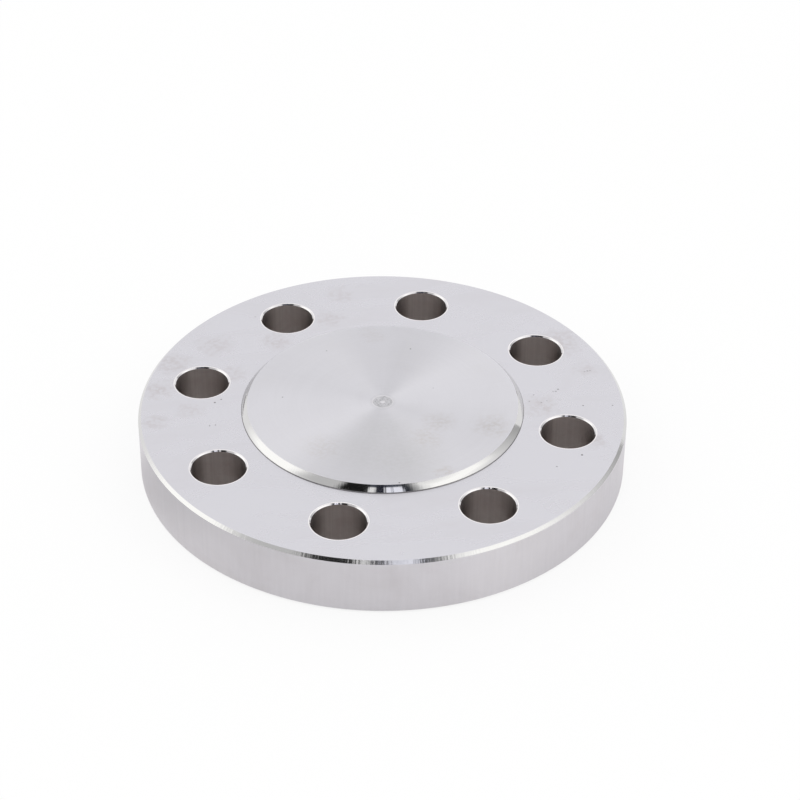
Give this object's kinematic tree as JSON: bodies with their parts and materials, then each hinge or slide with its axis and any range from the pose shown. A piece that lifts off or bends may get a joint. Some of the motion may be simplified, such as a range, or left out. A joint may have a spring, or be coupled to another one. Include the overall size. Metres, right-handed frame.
{
  "type": "raised face blind flange",
  "caption": "Thick round steel disc with a ring of bolt holes around a bevelled raised sealing face, bolted over a pipe or chamber port to close it.",
  "frame": {"origin": "centre of the flat back face", "axes": "+Z along the flange's axis, out of the raised face; +X and +Y along the centrelines that the bolt holes straddle"},
  "size_m": [0.165, 0.165, 0.0228],
  "materials": {
    "stainless_steel": "bare stainless steel, finely turned and faced to a satin sheen, with brighter bevels and darker drilled bolt holes"
  },
  "bodies": {
    "root": {"flange": "stainless_steel"}
  },
  "joints": []
}
